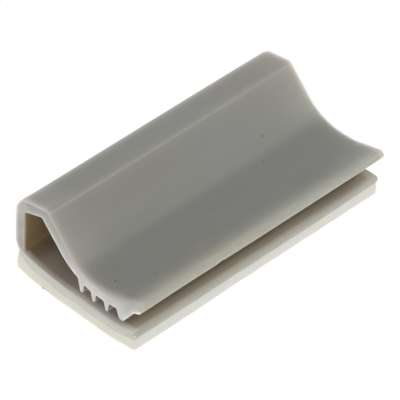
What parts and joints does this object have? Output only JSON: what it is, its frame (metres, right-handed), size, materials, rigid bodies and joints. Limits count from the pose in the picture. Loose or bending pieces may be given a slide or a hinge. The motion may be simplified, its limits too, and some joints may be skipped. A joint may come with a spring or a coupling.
{
  "type": "adhesive flat cable clamp",
  "caption": "Soft extruded strip clamp on foam tape: a sprung arm with a toothed underside presses flat cable against the base, with an open front mouth and a hollow behind.",
  "frame": {"origin": "centre of the adhesive face, on the surface that the clamp is stuck to", "axes": "+X along the extrusion, +Y from the open mouth to the back wall, +Z away from the adhesive face"},
  "size_m": [0.05, 0.0263, 0.0158],
  "materials": {
    "body": "soft grey extruded PVC, satin, slightly translucent at cut edges",
    "tape": "matt cream closed-cell foam, double-sided adhesive"
  },
  "bodies": {
    "root": {"clamp_body": "body", "foam_tape": "tape"}
  },
  "joints": []
}
